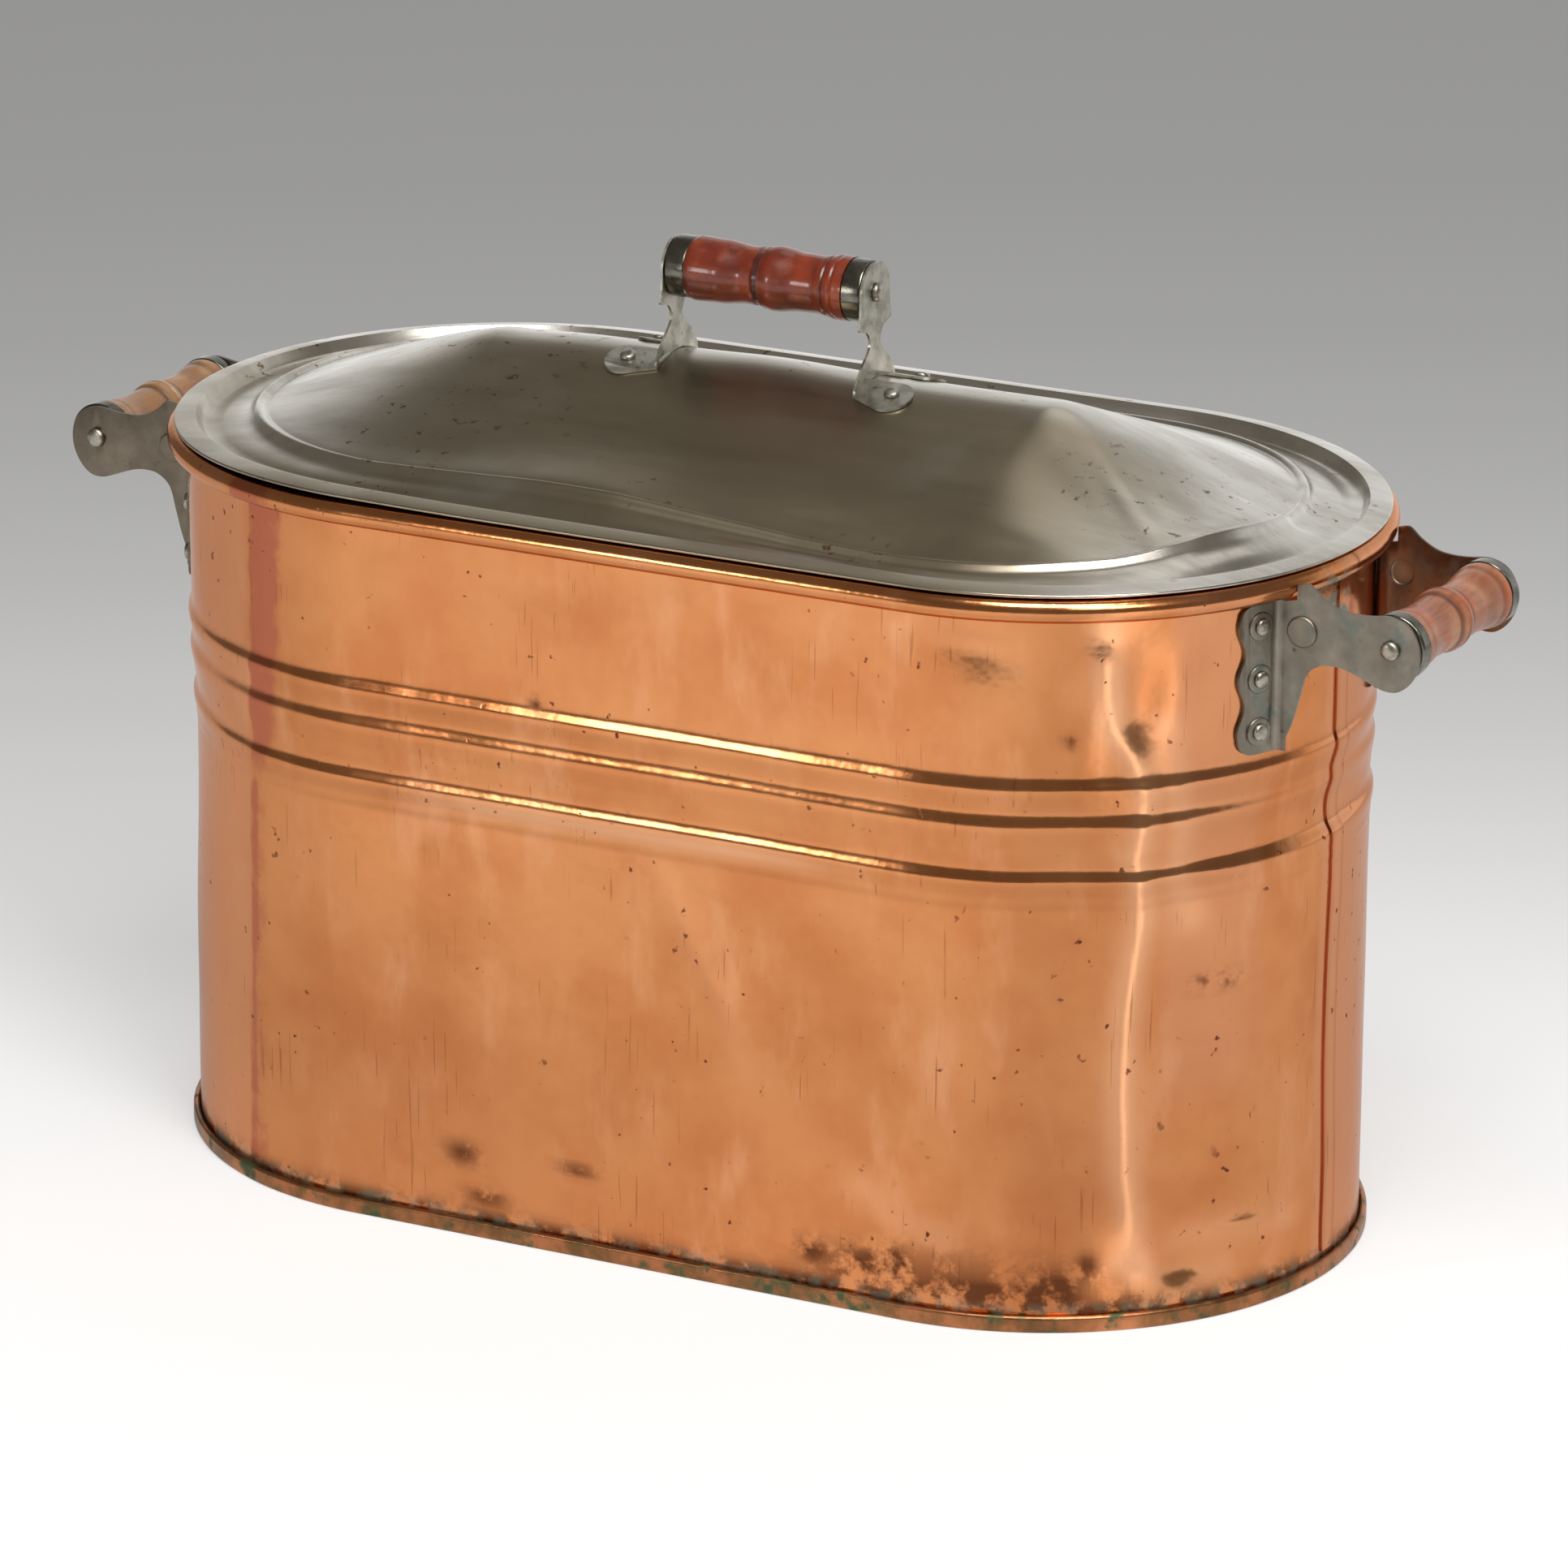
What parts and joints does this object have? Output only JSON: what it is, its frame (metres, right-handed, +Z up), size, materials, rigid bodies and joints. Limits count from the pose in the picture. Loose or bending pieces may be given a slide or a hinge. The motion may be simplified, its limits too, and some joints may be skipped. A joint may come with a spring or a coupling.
{
  "type": "lidded copper basin",
  "caption": "Oval copper wash boiler with a rolled rim, a double-seamed base, riveted end handles with turned wood grips, and a lift-off tinned lid with its own grip.",
  "frame": {"origin": "middle of the basin's length and width, on the surface that it stands on", "axes": "+X along the length towards the right-hand handle, -Y is the front, +Z up"},
  "size_m": [0.702, 0.316, 0.4418],
  "materials": {
    "copper": "polished copper sheet, worn and dented",
    "tinned_steel": "dull grey tin plate",
    "dark_steel": "aged brown-grey steel",
    "iron_wire": "bare iron wire",
    "grip_wood": "turned hardwood, stained and worn"
  },
  "bodies": {
    "basin": {"body_back_sheet": "copper", "body_front_sheet": "copper", "bottom_pan": "copper", "rim_wire": "iron_wire", "left_rod": "dark_steel", "left_ear_front": "dark_steel", "left_rivet_front_1": "dark_steel", "left_rivet_front_2": "dark_steel", "left_rivet_front_3": "dark_steel", "left_ear_back": "dark_steel", "left_rivet_back_1": "dark_steel", "left_rivet_back_2": "dark_steel", "left_rivet_back_3": "dark_steel", "right_rod": "dark_steel", "right_ear_front": "dark_steel", "right_rivet_front_1": "dark_steel", "right_rivet_front_2": "dark_steel", "right_rivet_front_3": "dark_steel", "right_ear_back": "dark_steel", "right_rivet_back_1": "dark_steel", "right_rivet_back_2": "dark_steel", "right_rivet_back_3": "dark_steel"},
    "lid": {"lid": "tinned_steel", "lid_bracket_left": "tinned_steel", "lid_bracket_right": "tinned_steel", "lid_rod": "dark_steel", "lid_rivet_left_front": "dark_steel", "lid_rivet_left_back": "dark_steel", "lid_rivet_right_front": "dark_steel", "lid_rivet_right_back": "dark_steel"},
    "left_grip": {"left_grip": "grip_wood", "left_cup_front": "dark_steel", "left_cup_back": "dark_steel"},
    "right_grip": {"right_grip": "grip_wood", "right_cup_front": "dark_steel", "right_cup_back": "dark_steel"},
    "lid_grip": {"lid_grip": "grip_wood", "lid_cup_left": "dark_steel", "lid_cup_right": "dark_steel"}
  },
  "joints": [
    {"name": "lid_lift", "type": "slide", "parent": "basin", "child": "lid", "axis": [0, 0, 1], "range_m": [0, 0.12]},
    {"name": "lid_grip_spin", "type": "hinge", "parent": "lid", "child": "lid_grip", "pos_m": [0, 0, 0.4269], "axis": [1, 0, 0], "continuous": true},
    {"name": "right_grip_spin", "type": "hinge", "parent": "basin", "child": "right_grip", "pos_m": [0.33298, -0.01023, 0.3166], "axis": [0.0523, 0.9986, 0], "continuous": true},
    {"name": "left_grip_spin", "type": "hinge", "parent": "basin", "child": "left_grip", "pos_m": [-0.33298, 0.01023, 0.3166], "axis": [0.0523, 0.9986, 0], "continuous": true}
  ]
}
